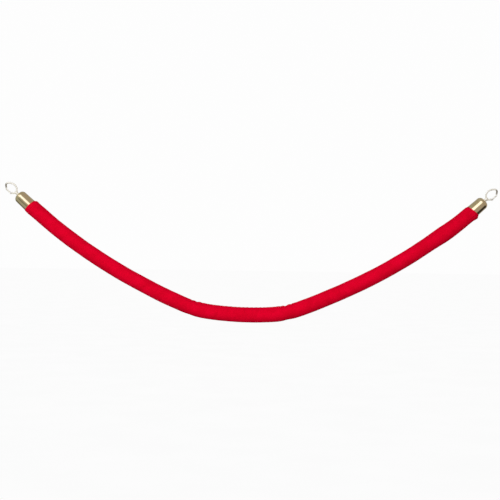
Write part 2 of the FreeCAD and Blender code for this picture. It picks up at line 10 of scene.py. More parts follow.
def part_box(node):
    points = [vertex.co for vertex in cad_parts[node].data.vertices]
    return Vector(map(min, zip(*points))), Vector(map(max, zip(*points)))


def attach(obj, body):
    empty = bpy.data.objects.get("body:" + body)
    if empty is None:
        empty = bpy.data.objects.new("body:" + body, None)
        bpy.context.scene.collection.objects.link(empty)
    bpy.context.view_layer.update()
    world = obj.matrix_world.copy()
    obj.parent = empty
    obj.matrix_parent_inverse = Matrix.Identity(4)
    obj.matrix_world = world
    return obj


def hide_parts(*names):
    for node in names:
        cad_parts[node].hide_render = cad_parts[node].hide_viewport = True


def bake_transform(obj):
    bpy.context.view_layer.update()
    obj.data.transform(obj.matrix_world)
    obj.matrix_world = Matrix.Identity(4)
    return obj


# A red velvet barrier rope with brass ends, hanging between two posts that aren't shown. Metres, in the
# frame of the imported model: +X along the span, +Z up, and the rope lies in the XZ plane, front towards -Y.

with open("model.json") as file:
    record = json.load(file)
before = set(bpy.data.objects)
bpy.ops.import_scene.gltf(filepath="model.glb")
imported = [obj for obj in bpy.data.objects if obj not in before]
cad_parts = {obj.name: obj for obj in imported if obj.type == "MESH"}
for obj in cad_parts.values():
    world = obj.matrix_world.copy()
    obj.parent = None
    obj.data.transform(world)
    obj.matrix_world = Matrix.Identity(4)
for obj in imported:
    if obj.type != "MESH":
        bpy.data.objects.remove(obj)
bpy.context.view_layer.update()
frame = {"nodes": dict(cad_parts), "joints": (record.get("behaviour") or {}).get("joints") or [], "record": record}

FRONT, UP = Vector((0, -1, 0)), Vector((0, 0, 1))
ENDS = ("left", "right")


def joint_named(name):
    return next(joint for joint in frame["joints"] if joint["name"] == name)


def put_in_scene(made):
    bpy.context.scene.collection.objects.link(made)


def angles(count):
    """Evenly spaced angles once round a circle."""
    return np.linspace(0, 2 * math.pi, count, endpoint=False)


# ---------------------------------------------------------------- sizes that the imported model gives


def end_frame(side):
    """Foot of the hook, the cap's axis towards the hook, and the direction across it that points up."""
    swivel = joint_named(side + "_swivel")
    axis = Vector(swivel["axis"]).normalized()
    across = UP - axis * axis.dot(UP)
    return Vector(swivel["pos_m"]), axis, across.normalized()


def cap_size(side):
    """How far the cap's rim lies behind the foot of the hook, and the rim's outside radius."""
    foot, axis, _ = end_frame(side)
    arms = [vertex.co - foot for vertex in frame["nodes"][side + "_end_cap"].data.vertices]
    return max(-arm.dot(axis) for arm in arms), max((arm - axis * arm.dot(axis)).length for arm in arms)


CAP_LENGTH, CAP_RADIUS = cap_size("left")
CAP_WALL = 0.001
MOUTH_PLAY = 0.0004  # between the cap's inside and the sleeve
MOUTH_RADIUS = CAP_RADIUS - CAP_WALL - MOUTH_PLAY
SLEEVE_LOW, SLEEVE_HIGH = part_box("velvet_sleeve")
ROPE_RADIUS = (SLEEVE_HIGH[1] - SLEEVE_LOW[1]) / 2
MIDDLE = (SLEEVE_LOW[0] + SLEEVE_HIGH[0]) / 2  # halfway between the posts

# ---------------------------------------------------------------- the rope's route

# X and Z of the points that guide the rope's line. The first and last are inside the caps' mouths.
ROUTE = [
    (0.0573, -0.0508),
    (0.1053, -0.0931),
    (0.1820, -0.1525),
    (0.2860, -0.2200),
    (0.3840, -0.2720),
    (0.4450, -0.3005),
    (0.5030, -0.3245),
    (0.5620, -0.3330),
    (0.6200, -0.3365),
    (0.6800, -0.3370),
    (0.7440, -0.3315),
    (0.8100, -0.3068),
    (0.8800, -0.2772),
    (0.9700, -0.2336),
    (1.0500, -0.1880),
    (1.1240, -0.1382),
    (1.1924, -0.0906),
    (1.2353, -0.0516),
]

ROUTE_RESOLUTION = 48  # points on the line for each span between guides
RING_STEP = 0.0016  # between rings of the sleeve's mesh


def route_points():
    """Points close together along the route's own smooth curve."""
    curve = bpy.data.curves.new("route", "CURVE")
    curve.dimensions = "3D"
    curve.resolution_u = ROUTE_RESOLUTION
    spline = curve.splines.new("NURBS")
    spline.points.add(len(ROUTE) - 1)
    for point, (x, z) in zip(spline.points, ROUTE):
        point.co = (x, 0, z, 1)
    spline.order_u = 3
    spline.use_endpoint_u = True
    holder = bpy.data.objects.new("route", curve)
    put_in_scene(holder)
    bpy.context.view_layer.update()
    line = bpy.data.meshes.new_from_object(holder)
    points = [Vector(vertex.co) for vertex in line.vertices]
    bpy.data.objects.remove(holder)
    bpy.data.meshes.remove(line)
    return points


def evenly_spaced(points, step):
    """The same line with its points an even step apart, as arrays of places and distances along."""
    places = np.array([tuple(point) for point in points])
    along = np.concatenate([[0], np.cumsum(np.linalg.norm(np.diff(places, axis=0), axis=1))])
    count = int(round(along[-1] / step)) + 1
    wanted = np.linspace(0, along[-1], count)
    return np.stack([np.interp(wanted, along, places[:, k]) for k in range(3)], axis=1), wanted


CENTRES, ALONG = evenly_spaced(route_points(), RING_STEP)
TANGENTS = np.gradient(CENTRES, ALONG, axis=0)
TANGENTS /= np.linalg.norm(TANGENTS, axis=1)[:, None]
# The direction square to the rope that points up.
ABOVE = np.stack([-TANGENTS[:, 2], np.zeros(len(ALONG)), TANGENTS[:, 0]], axis=1)
LENGTH = ALONG[-1]


def rim_distance(side):
    """How far along the rope's line from its nearer end the cap's rim lies."""
    foot, axis, _ = end_frame(side)
    end = Vector(CENTRES[0 if side == "left" else -1])
    return CAP_LENGTH + (end - foot).dot(axis)


RIM_IN = {side: rim_distance(side) for side in ENDS}


def from_rims(s):
    """How far behind each cap's rim the places at some distances along the rope are."""
    return {"left": s - RIM_IN["left"], "right": LENGTH - s - RIM_IN["right"]}


def from_nearer_rim(s):
    return np.minimum(*from_rims(s).values())


# ---------------------------------------------------------------- camera and light

VIEW_WIDTH = 1.3209  # at the rope
CAMERA_DISTANCE = 3.0
CAMERA_AIM = Vector((0.6444, 0, -0.1653))
CAMERA_ROLL = math.radians(0.784)
CAMERA_REACH = 100  # how far it sees
SENSOR_WIDTH = 36  # millimetres


def add_camera():
    data = bpy.data.cameras.new("camera")
    data.sensor_width = SENSOR_WIDTH
    data.lens = SENSOR_WIDTH * CAMERA_DISTANCE / VIEW_WIDTH
    data.clip_end = CAMERA_REACH
    camera = bpy.data.objects.new("camera", data)
    put_in_scene(camera)
    right = Vector((math.cos(CAMERA_ROLL), 0, math.sin(CAMERA_ROLL)))
    upright = Vector((-math.sin(CAMERA_ROLL), 0, math.cos(CAMERA_ROLL)))
    turn = Matrix((right, upright, FRONT)).transposed().to_4x4()
    camera.matrix_world = Matrix.Translation(CAMERA_AIM + FRONT * CAMERA_DISTANCE) @ turn
    bpy.context.scene.camera = camera


add_camera()


def add_area_light(name, position, aim, size, power):
    data = bpy.data.lights.new(name, "AREA")
    data.shape = "DISK"
    data.size = size
    data.energy = power
    light = bpy.data.objects.new(name, data)
    put_in_scene(light)
    light.location = position
    light.rotation_euler = (Vector(aim) - Vector(position)).to_track_quat("-Z", "Y").to_euler()
    light.visible_glossy = False
    light.visible_camera = False


add_area_light("key_light", (0.42, -2.4, 0.15), (-0.4, 0, -0.17), 0.9, 26.5)
add_area_light("fill_light", (-0.2, -2.4, -0.7), (0.4, 0, -0.25), 1.4, 5)


class Nodes:
    """Short names for building a node tree."""

    def __init__(self, tree):
        self.tree = tree
        tree.nodes.clear()

    def add(self, kind, inputs=None, **settings):
        node = self.tree.nodes.new(kind)
        for key, setting in settings.items():
            setattr(node, key, setting)
        for key, given in (inputs or {}).items():
            socket = node.inputs[key]
            if isinstance(given, bpy.types.NodeSocket):
                self.tree.links.new(given, socket)
            else:
                socket.default_value = given
        return node

    def place(self):
        return self.add("ShaderNodeTexCoord").outputs["Object"]

    def math(self, operation, *given):
        return self.add("ShaderNodeMath", dict(enumerate(given)), operation=operation).outputs[0]

    def noise(self, where, scale, detail=3.0, roughness=0.5, distortion=0.0):
        node = self.add("ShaderNodeTexNoise", {"Vector": where, "Scale": scale, "Detail": detail,
                                               "Roughness": roughness, "Distortion": distortion})
        return node.outputs["Fac"]

    def ramp(self, factor, *stops):
        """A colour ramp whose stops are (position, colour)."""
        node = self.add("ShaderNodeValToRGB", {"Fac": factor})
        marks = node.color_ramp.elements
        for mark, (position, colour) in zip(list(marks) + [None] * len(stops), stops):
            mark = mark or marks.new(position)
            mark.position = position
            mark.color = (*colour, 1)
        return node.outputs["Color"]

    def span(self, factor, low, high, start=0.0, end=1.0):
        """Maps a value from one range to another, held at its ends."""
        given = {"Value": factor, "From Min": low, "From Max": high, "To Min": start, "To Max": end}
        return self.add("ShaderNodeMapRange", given).outputs[0]

    def blend(self, factor, first, second, mode="MIX"):
        node = self.add("ShaderNodeMix", data_type="RGBA", blend_type=mode)
        for name, given in (("Factor", factor), ("A", first), ("B", second)):
            kind = "VALUE" if name == "Factor" else "RGBA"
            socket = next(s for s in node.inputs if s.name == name and s.type == kind)
            if isinstance(given, bpy.types.NodeSocket):
                self.tree.links.new(given, socket)
            else:
                socket.default_value = (*given, 1) if kind == "RGBA" else given
        return next(s for s in node.outputs if s.type == "RGBA")

    def bump(self, height, distance, strength=1.0, normal=None):
        given = {"Height": height, "Distance": distance, "Strength": strength}
        if normal is not None:
            given["Normal"] = normal
        return self.add("ShaderNodeBump", given).outputs["Normal"]


# The studio as the brass mirrors it: dim walls, pale panels up beside the camera, and dark corners low down.
WALL_LIGHT = 0.40
PANEL_LIGHT = 1.55
PANEL_TINT = (1.0, 1.0, 1.28)
CORNER_LIGHT = 0.08  # of the walls' light
BACKDROP_LIGHT = 0.985

# A panel or a corner: its direction, the angles in degrees within which it is full and past which it is gone,
# and its strength.
PANELS = [
    ((-0.190, -0.858, 0.477), 17.5, 26, 1.0),
    ((-0.60, -0.60, 0.53), 7, 15, 1.0),
    ((-0.720, -0.262, 0.643), 9, 17, 0.8),
]
CORNERS = [
    ((0.67, 0.05, -0.74), 24, 38, 1.0),
    ((-0.5, 0.5, -0.55), 18, 34, 0.6),
    ((-0.531, -0.744, -0.405), 5, 14, 0.6),
]
# The walls' colour from the studio's left to its right, against the X of the direction.
WALL_EDGE = 0.7
WALL_COLOURS = [(0.0, (0.96, 1.0, 0.99)), (0.45, (1.0, 0.97, 0.96)), (1.0, (1.0, 0.90, 0.92))]


def add_world():
    world = bpy.data.worlds.new("studio")
    bpy.context.scene.world = world
    world.use_nodes = True
    n = Nodes(world.node_tree)
    direction = n.add("ShaderNodeTexCoord").outputs["Generated"]
    x = n.add("ShaderNodeSeparateXYZ", {"Vector": direction}).outputs[0]

    def strongest(patches):
        """How strong the strongest of some panels or corners is in each direction."""
        level = 0.0
        for goal, near, far, strength in patches:
            dot = n.add("ShaderNodeVectorMath", {0: direction, 1: Vector(goal).normalized()},
                        operation="DOT_PRODUCT").outputs["Value"]
            inside = n.span(dot, math.cos(math.radians(far)), math.cos(math.radians(near)))
            level = n.math("MAXIMUM", level, n.math("MULTIPLY", inside, strength))
        return level

    glow = strongest(PANELS)
    lit = n.math("MULTIPLY", WALL_LIGHT, n.span(strongest(CORNERS), 0, 1, 1.0, CORNER_LIGHT))
    level = n.math("ADD", lit, n.math("MULTIPLY", glow, PANEL_LIGHT - WALL_LIGHT))
    walls = n.ramp(n.span(x, -WALL_EDGE, WALL_EDGE), *WALL_COLOURS)
    tint = n.blend(glow, walls, PANEL_TINT)
    mirrored = n.add("ShaderNodeBackground", {"Color": tint, "Strength": level})
    backdrop = n.add("ShaderNodeBackground", {"Color": (1, 1, 1, 1), "Strength": BACKDROP_LIGHT})
    seen = n.add("ShaderNodeLightPath").outputs["Is Camera Ray"]
    mixed = n.add("ShaderNodeMixShader", {0: seen, 1: mirrored.outputs[0], 2: backdrop.outputs[0]})
    n.add("ShaderNodeOutputWorld", {"Surface": mixed.outputs[0]})


add_world()
bpy.context.scene.view_settings.view_transform = "Standard"
bpy.context.scene.view_settings.look = "None"

# ---------------------------------------------------------------- materials


def material(name):
    made = bpy.data.materials.new(name)
    made.use_nodes = True
    return made, Nodes(made.node_tree)


def finish_material(made, n, colour, normal, settings):
    """Ends a material with a Principled shader; settings gives its other sockets."""
    shader = n.add("ShaderNodeBsdfPrincipled", {"Base Color": colour, "Normal": normal, **settings})
    n.add("ShaderNodeOutputMaterial", {"Surface": shader.outputs[0]})
    return made


def velvet_material():
    """Cut-pile velvet: tufts, brushed patches that lie a little differently, and a soft coloured sheen."""
    made, n = material("velvet")
    where = n.place()
    brushed = n.noise(where, 26, 4, 0.6, 1.2)
    clumps = n.noise(where, 260, 3, 0.6, 0.4)
    tufts = n.noise(where, 1300, 3, 0.7)
    patches = n.ramp(brushed, (0.30, (0.63, 0.001, 0.016)), (0.50, (0.72, 0.001, 0.020)),
                     (0.70, (0.79, 0.001, 0.025)))
    grain = n.math("ADD", n.span(tufts, 0.3, 0.7, 0.38, 0.64), n.span(clumps, 0.3, 0.7, 0.42, 0.52))
    shade = n.add("ShaderNodeCombineColor", {"Red": grain, "Green": grain, "Blue": grain}).outputs[0]
    colour = n.blend(1.0, patches, shade, "MULTIPLY")
    coarse = n.bump(clumps, 0.0005, 0.35)
    fine = n.bump(tufts, 0.0004, 0.7, coarse)
    return finish_material(made, n, colour, fine, {
        "Roughness": 0.95, "Specular IOR Level": 0.0,
        "Sheen Weight": 0.25, "Sheen Roughness": 0.45, "Sheen Tint": (1.0, 0.03, 0.12, 1)})


# Painted shade: a dark spot painted onto the hook's bow. It is given here for the left hook and mirrored onto the
# right one, and it stands for the shade at the hook's outer end.
PAINTED_SHADE_SPOT = (-0.0025, 0, -0.0035)  # on the left hook's bow
PAINTED_SHADE_RADIUS = 0.0045
PAINTED_SHADE_EDGE = 0.0075  # where its fading ends


def folded_place(n, where):
    """The place with both ends of the rope folded onto the left one; they mirror each other."""
    x, y, z = n.add("ShaderNodeSeparateXYZ", {"Vector": where}).outputs
    from_middle = n.math("ABSOLUTE", n.math("SUBTRACT", x, MIDDLE))
    folded = n.math("SUBTRACT", MIDDLE, from_middle)
    return n.add("ShaderNodeCombineXYZ", {"X": folded, "Y": y, "Z": z}).outputs[0]


def along_and_around(n, where):
    """Depth along the nearer cap's axis and distance from it, for marks that run round a turned piece."""
    foot, axis, _ = end_frame("left")
    arm = n.add("ShaderNodeVectorMath", {0: folded_place(n, where), 1: foot}, operation="SUBTRACT").outputs[0]
    depth = n.add("ShaderNodeVectorMath", {0: arm, 1: axis}, operation="DOT_PRODUCT").outputs["Value"]
    shadow = n.add("ShaderNodeVectorMath", {0: axis, "Scale": depth}, operation="SCALE").outputs[0]
    radius = n.add("ShaderNodeVectorMath", {0: arm, 1: shadow}, operation="DISTANCE").outputs["Value"]
    return n.add("ShaderNodeCombineXYZ", {"X": depth, "Y": radius, "Z": 0.0}).outputs[0]


def brass_material(name, deep, pale, smooth, rough, metal=1.0, spun=True, painted_shade=None):
    """Polished brass: polishing lines that run round a spun piece, handling smears, small scratches, and, where
    asked for, a dark spot of painted shade on the hook's bow. Its roughness varies from smooth to rough."""
    made, n = material(name)
    where = n.place()
    smears = n.noise(where, 55, 4, 0.6, 0.6)
    turned = along_and_around(n, where) if spun else where
    lines = n.noise(turned, 2600 if spun else 1400, 2, 0.7)
    scratches = n.span(n.noise(where, 620, 3, 0.75, 2.5), 0.66, 0.72)
    colour = n.ramp(smears, (0.35, deep), (0.65, pale))
    # Painted shade: the colour is darkened in a spot on the hook's bow, with a ragged edge.
    if painted_shade:
        off = n.add("ShaderNodeVectorMath", {0: folded_place(n, where), 1: PAINTED_SHADE_SPOT},
                    operation="DISTANCE").outputs["Value"]
        ragged = n.math("ADD", off, n.span(scratches, 0, 1, 0, -0.001))
        colour = n.blend(n.span(ragged, PAINTED_SHADE_EDGE, PAINTED_SHADE_RADIUS), colour, painted_shade)
    dull = n.math("ADD", n.span(smears, 0.3, 0.7, smooth, rough), n.span(lines, 0.45, 0.8, 0.0, 0.05))
    worn = n.math("ADD", dull, n.math("MULTIPLY", scratches, 0.08))
    normal = n.bump(scratches, 0.00003, 0.15, n.bump(lines, 0.00003, 0.35))
    return finish_material(made, n, colour, normal, {"Metallic": metal, "Roughness": worn})


def steel_material(name, shade, roughness):
    made, n = material(name)
    where = n.place()
    grain = n.noise(where, 700, 3, 0.6)
    dull = n.span(grain, 0.3, 0.7, roughness - 0.08, roughness + 0.08)
    colour = n.ramp(grain, (0.3, tuple(part * 0.85 for part in shade)), (0.7, shade))
    normal = n.bump(grain, 0.00003, 0.4)
    return finish_material(made, n, colour, normal, {"Metallic": 1.0, "Roughness": dull})


def wood_material():
    made, n = material("plug_wood")
    where = n.place()
    grain = n.add("ShaderNodeTexWave", {"Vector": where, "Scale": 160.0, "Distortion": 6.0, "Detail": 3.0},
                  wave_type="RINGS").outputs["Fac"]
    colour = n.ramp(grain, (0.2, (0.52, 0.35, 0.19)), (0.8, (0.72, 0.54, 0.34)))
    normal = n.bump(grain, 0.0001, 0.4)
    return finish_material(made, n, colour, normal, {"Roughness": 0.7})


def fibre_material(name, low, high, scale):
    """Soft fibre, for the filling and the cord."""
    made, n = material(name)
    where = n.place()
    strands = n.noise(where, scale, 4, 0.7, 0.8)
    colour = n.ramp(strands, (0.3, low), (0.7, high))
    normal = n.bump(strands, 0.0004, 0.6)
    return finish_material(made, n, colour, normal, {"Roughness": 0.9})


MATERIALS = {
    "velvet": velvet_material(),
    "cap_brass": brass_material("cap_brass", (0.80, 0.64, 0.34), (0.88, 0.74, 0.44), smooth=0.10, rough=0.17),
    # The hooks' plating looks almost white in bright light. That brightness is painted in as a painted highlight:
    # the same brass as the caps, given a pale, almost white colour and only part metal.
    "hook_brass": brass_material("hook_brass", (0.96, 0.93, 0.76), (0.99, 0.96, 0.82), smooth=0.26,
                                 # The last colour is the painted shade for the dark spot on the bow.
                                 rough=0.33, metal=0.36, spun=False, painted_shade=(0.30, 0.27, 0.20)),
    "screw_brass": brass_material("screw_brass", (0.78, 0.62, 0.32), (0.86, 0.72, 0.42), smooth=0.18,
                                  rough=0.26, spun=False),
    "steel": steel_material("steel", (0.62, 0.62, 0.61), 0.32),
    "spring_steel": steel_material("spring_steel", (0.45, 0.45, 0.46), 0.28),
    "plug_wood": wood_material(),
    "core_filling": fibre_material("core_filling", (0.78, 0.75, 0.68), (0.90, 0.88, 0.82), 300),
    "load_cord": fibre_material("load_cord", (0.74, 0.73, 0.70), (0.90, 0.90, 0.87), 900),
}


def paint_cad_nodes():
    for entry in frame["record"]["subparts"]:
        node = frame["nodes"][entry["node"]]
        node.data.materials.clear()
        node.data.materials.append(MATERIALS[entry["material_slot"]])


paint_cad_nodes()

# ---------------------------------------------------------------- the velvet sleeve

SLEEVE_WALL = 0.0018
RING_SIDES = 96
INNER_SPACING = 8  # outer rings for each ring on the sleeve's inside
# The sleeve's inside is a wall's thickness within these radii, in the cap's mouth and along the rope.
TUCKED_RADIUS = MOUTH_RADIUS - 0.0002
SETTLED_RADIUS = ROPE_RADIUS - 0.0003
WIDENS_AT = 0.001  # behind the rim
WIDENS_OVER = 0.012

# The sleeve's end tucked into the cap's mouth: how far behind the rim, and how far off the mouth's radius.
TUCK = [(-0.0062, -0.0002), (-0.0030, 0.0), (0.0004, 0.0)]
# The fold's first point past the rim: how far behind it, and how far off its outside radius.
FOLD_START = (0.0010, 0.00045)
# How the sleeve swells from there, in millimetres and measured in the same way. The first two points are the
# edge of the fold that covers the rim, which is largest underneath.
SHOULDERS = {
    "left": {
        "top": [(1.3, 0.4), (1.7, 0.5), (2.3, 0.8), (3.8, 1.8), (6.0, 2.45), (10.5, 3.0)],
        "front": [(-0.9, 0.3), (-1.0, 0.8), (0.5, 1.2), (2.5, 2.0), (5.0, 2.5), (9.0, 2.6)],
        "under": [(-0.7, 0.3), (-0.6, 0.7), (1.5, 0.8), (3.5, 1.3), (6.5, 1.9), (10.5, 2.3)],
    },
    "right": {
        "top": [(1.3, 0.4), (1.7, 0.5), (2.4, 0.6), (3.9, 1.0), (6.0, 1.7), (9.0, 2.3)],
        "front": [(-2.2, 0.3), (-2.3, 0.9), (-0.8, 1.6), (1.0, 2.4), (3.5, 3.0), (8.0, 2.8)],
        "under": [(-4.8, 0.3), (-5.0, 0.8), (-2.2, 1.4), (-0.5, 3.9), (3.0, 4.6), (8.5, 3.7)],
    },
}
MILLIMETRE = 0.001
END_REACH = 0.015  # from the rim to where the sleeve's regular rings start
END_RINGS = 44
HELD_DEPTH = 0.0010  # the sleeve keeps to the cap's axis as far as this behind the rim
RELEASE = 0.0075  # and comes onto the rope's own line over this length
BARE_HEIGHT = 0.0007  # the cloth shows its detail from this height off the rim's outside radius
DETAIL_RISE = 0.0015  # and in full this much further out

PLEATS = 13  # where the cloth is gathered into the caps
PLEAT_HEIGHT = 0.0006
PLEAT_PLACE = 0.005  # behind the rim
PLEAT_REACH = 0.014

# Unevenness of the cloth, from broad lumps to the nap: (height, size, seed).
LUMPS = [(0.00045, 0.050, 3.7), (0.00016, 0.018, 9.1), (0.00016, 0.0034, 21.3)]

SEAM_ANGLE = math.radians(205)
SEAM_DEPTH = 0.0009
SEAM_WIDTH = 0.0011
PUCKER_HEIGHT = 0.00022
PUCKER_STEP = 0.0065
PUCKER_WIDTH = 0.006

# Small folds on the rope's upper side, where it bends at each end of its lowest stretch: (X, width, depth).
CREASES = [(0.488, 0.0032, 0.0006), (0.5015, 0.0042, 0.0011), (0.516, 0.0034, 0.0006),
           (0.731, 0.0034, 0.0006), (0.7450, 0.0044, 0.0013), (0.7595, 0.0036, 0.0008)]
CREASE_BOW = 0.0035  # how far a fold curves along the rope
# The raised cloth on each side of a fold, as parts of the fold's width and depth.
LIP_PLACE, LIP_WIDTH, LIP_HEIGHT = 2.1, 1.4, 0.45

RIPPLES = (0.53, 0.70)  # X at the ends of the rippled stretch between the bends
RIPPLE_STEP = 0.011
RIPPLE_HEIGHT = 0.00028
RIPPLE_FADE = 0.02

# Where the rope is a little slimmer at those bends and fuller near the right cap: (X, width, height).
SWELLS = [(0.492, 0.012, -0.0006), (0.742, 0.011, -0.0011), (1.155, 0.035, 0.0014)]


def smooth_step(value):
    value = np.clip(value, 0, 1)
    return value * value * (3 - 2 * value)


def round_the_rope(top, front, under, angle):
    """A size that changes smoothly round the rope, from its values on top, in front and underneath."""
    rise = np.sin(angle)
    return front + (top - under) / 2 * rise + ((top + under) / 2 - front) * rise ** 2


def wave_noise(s, angle, scale, seed):
    """Smooth noise over the sleeve's surface, from -1 to 1, that joins up round the rope."""
    depth = ROPE_RADIUS * np.cos(angle) / scale
    height = ROPE_RADIUS * np.sin(angle) / scale + seed
    spots = zip((s / scale + seed).ravel(), depth.ravel(), height.ravel())
    return np.array([noise.noise(Vector(spot)) for spot in spots]).reshape(s.shape)


def hump(offset, width):
    """A smooth hump, 1 in its middle, that fades with the offset from there."""
    return np.exp(-(offset / width) ** 2)


def surface_detail(s, angle, outside, from_rim):
    """How far the cloth stands off the plain round tube, at distances along the rope and angles round it.
    Angle 0 faces the front and a quarter turn is the top."""
    even, uneven = np.cos(PLEATS * angle + 1.3 * np.sin(2 * angle)), np.cos(5 * angle + 40 * s)
    pleats = PLEAT_HEIGHT * (even + 0.5 * uneven) / 1.5 * hump(from_rim - PLEAT_PLACE, PLEAT_REACH)
    lumps = sum(height * wave_noise(s, angle, size, seed) for height, size, seed in LUMPS)
    swells = sum(height * hump(s - along_at(place), width) for place, width, height in SWELLS)

    upper_side = np.clip(np.sin(angle), 0, 1) ** 1.5
    creases = np.zeros_like(s)
    for place, width, depth in CREASES:
        off = s - along_at(place) - CREASE_BOW * np.cos(angle)
        creases -= depth * hump(off, width)
        for lip in (-LIP_PLACE * width, LIP_PLACE * width):
            creases += LIP_HEIGHT * depth * hump(off - lip, LIP_WIDTH * width)

    low, high = (along_at(place) for place in RIPPLES)
    in_ripples = smooth_step((s - low) / RIPPLE_FADE) * smooth_step((high - s) / RIPPLE_FADE)
    wander = 0.8 * np.sin(s * 97) + 0.6 * np.sin(s * 41 + 2)  # keeps the ripples from being regular
    ripples = RIPPLE_HEIGHT * np.sin(2 * math.pi * s / RIPPLE_STEP + wander) * in_ripples

    from_seam = (np.mod(angle - SEAM_ANGLE + math.pi, 2 * math.pi) - math.pi) * ROPE_RADIUS
    groove = -SEAM_DEPTH * hump(from_seam, SEAM_WIDTH)
    pucker = PUCKER_HEIGHT * np.sin(2 * math.pi * s / PUCKER_STEP) * hump(from_seam, PUCKER_WIDTH)
    return outside * (pleats + lumps + swells + (creases + ripples) * upper_side + groove + pucker)


def along_at(x):
    """How far along the rope's line a given X is."""
    return np.interp(x, CENTRES[:, 0], ALONG)


def rounded_line(corners, count):
    """Points along the smooth curve that rounds the corners of a line; each is a pair of arrays."""
    corners = np.array(corners)
    middles = (corners[1:-2] + corners[2:-1]) / 2
    starts = np.concatenate([corners[:1], middles])
    ends = np.concatenate([middles, corners[-1:]])
    runs = len(starts)
    points = []
    for t in np.linspace(0, runs, count):
        k = min(int(t), runs - 1)
        u = t - k
        points.append(starts[k] * (1 - u) ** 2 + corners[k + 1] * 2 * u * (1 - u) + ends[k] * u ** 2)
    return np.array(points)


def end_rings(side, angle):
    """Depth behind the cap's rim and radius of each ring from inside the cap to the regular rings."""
    level = np.ones_like(angle)
    corners = [(level * depth, level * MOUTH_RADIUS + off) for depth, off in TUCK]
    corners.append((level * FOLD_START[0], level * CAP_RADIUS + FOLD_START[1]))
    for points in zip(*(SHOULDERS[side][part] for part in ("top", "front", "under"))):
        depth, height = (round_the_rope(*(point[k] for point in points), angle) * MILLIMETRE for k in (0, 1))
        corners.append((depth, CAP_RADIUS + height))
    corners.append((level * END_REACH, level * ROPE_RADIUS))
    line = rounded_line(corners, END_RINGS)
    return line[:, 0], line[:, 1]


def line_at(s):
    """The rope's own line at distances along it, and the direction up from it, drawn to the nearer cap's axis
    where it enters the cap."""
    centre = np.stack([np.interp(s, ALONG, CENTRES[:, k]) for k in range(3)], axis=-1)
    up = np.stack([np.interp(s, ALONG, ABOVE[:, k]) for k in range(3)], axis=-1)
    for side, depth in from_rims(s).items():
        foot, axis, across = (np.array(part) for part in end_frame(side))
        own = smooth_step((depth - HELD_DEPTH) / RELEASE)[..., None]
        held = foot - axis * (CAP_LENGTH + depth[..., None])
        centre = held * (1 - own) + centre * own
        up = across * (1 - own) + up * own
    return centre, up / np.linalg.norm(up, axis=-1)[..., None]


def tube_places(s, angle, radius, forward=0.0, upward=0.0):
    """Places on the surface of a tube along the rope's line, or of one that runs beside it."""
    centre, up = line_at(s)
    toward_front = (radius * np.cos(angle) + forward)[..., None] * np.array(FRONT)
    return centre + toward_front + (radius * np.sin(angle) + upward)[..., None] * up


def tube_faces(first, rings, sides, inward=False):
    """Quads between rings whose vertices start at index first."""
    faces = []
    for ring in range(rings - 1):
        for side in range(sides):
            after = (side + 1) % sides
            low, high = first + ring * sides, first + (ring + 1) * sides
            quad = (low + side, low + after, high + after, high + side)
            faces.append(quad[::-1] if inward else quad)
    return faces


def mesh_object(name, places, faces, made):
    mesh = bpy.data.meshes.new(name)
    mesh.from_pydata([tuple(place) for place in places], [], faces)
    mesh.validate()
    mesh.materials.append(made)
    mesh.polygons.foreach_set("use_smooth", [True] * len(mesh.polygons))
    tidy = bmesh.new()
    tidy.from_mesh(mesh)
    bmesh.ops.recalc_face_normals(tidy, faces=tidy.faces)
    tidy.to_mesh(mesh)
    tidy.free()
    piece = bpy.data.objects.new(name, mesh)
    put_in_scene(piece)
    return piece


def outer_surface(turn):
    """Distance along the rope and outside radius of every ring, from one cap to the other."""
    rows = []
    for side in ENDS:
        depth, radius = end_rings(side, turn)
        s = RIM_IN[side] + depth
        if side == "right":
            s, depth, radius = LENGTH - s[::-1], depth[::-1], radius[::-1]
        rows.append((s, radius, depth))
    start = RIM_IN["left"] + END_REACH
    stop = LENGTH - RIM_IN["right"] - END_REACH
    regular = np.linspace(start, stop, int((stop - start) / RING_STEP))[1:-1]
    s = np.repeat(regular[:, None], len(turn), axis=1)
    rows.insert(1, (s, np.full_like(s, ROPE_RADIUS), from_nearer_rim(s)))
    s, radius, depth = (np.concatenate([row[k] for row in rows]) for k in range(3))
    angle = np.repeat(turn[None, :], len(s), axis=0)
    outside = smooth_step((radius - CAP_RADIUS - BARE_HEIGHT) / DETAIL_RISE)
    return s, angle, radius + surface_detail(s, angle, outside, depth)


def walled_tube(name, outer, inner, made):
    """A closed tube with a wall, from a grid of places on its outside and one on its inside."""
    sides = outer.shape[1]
    places = np.concatenate([outer.reshape(-1, 3), inner.reshape(-1, 3)])
    start = outer.shape[0] * sides
    faces = tube_faces(0, outer.shape[0], sides)
    faces += tube_faces(start, inner.shape[0], sides, inward=True)
    last_outer, last_inner = start - sides, len(places) - sides
    for side in range(sides):
        after = (side + 1) % sides
        faces.append((side, start + side, start + after, after))
        faces.append((last_outer + side, last_outer + after, last_inner + after, last_inner + side))
    return mesh_object(name, places, faces, made)


def velvet_cover():
    """The sleeve as a real tube of cloth, with an outside, an inside and turned-in ends."""
    turn = angles(RING_SIDES)
    s, angle, radius = outer_surface(turn)
    inner_reach = np.linspace(s[0, 0], s[-1, 0], len(s) // INNER_SPACING)
    inner_s, inner_angle = np.meshgrid(inner_reach, turn, indexing="ij")
    widening = smooth_step((from_nearer_rim(inner_s) - WIDENS_AT) / WIDENS_OVER)
    inner_radius = TUCKED_RADIUS + (SETTLED_RADIUS - TUCKED_RADIUS) * widening - SLEEVE_WALL
    outside = tube_places(s, angle, radius)
    inside = tube_places(inner_s, inner_angle, inner_radius)
    return walled_tube("velvet_cover", outside, inside, MATERIALS["velvet"])


# ---------------------------------------------------------------- the filling and the load cord

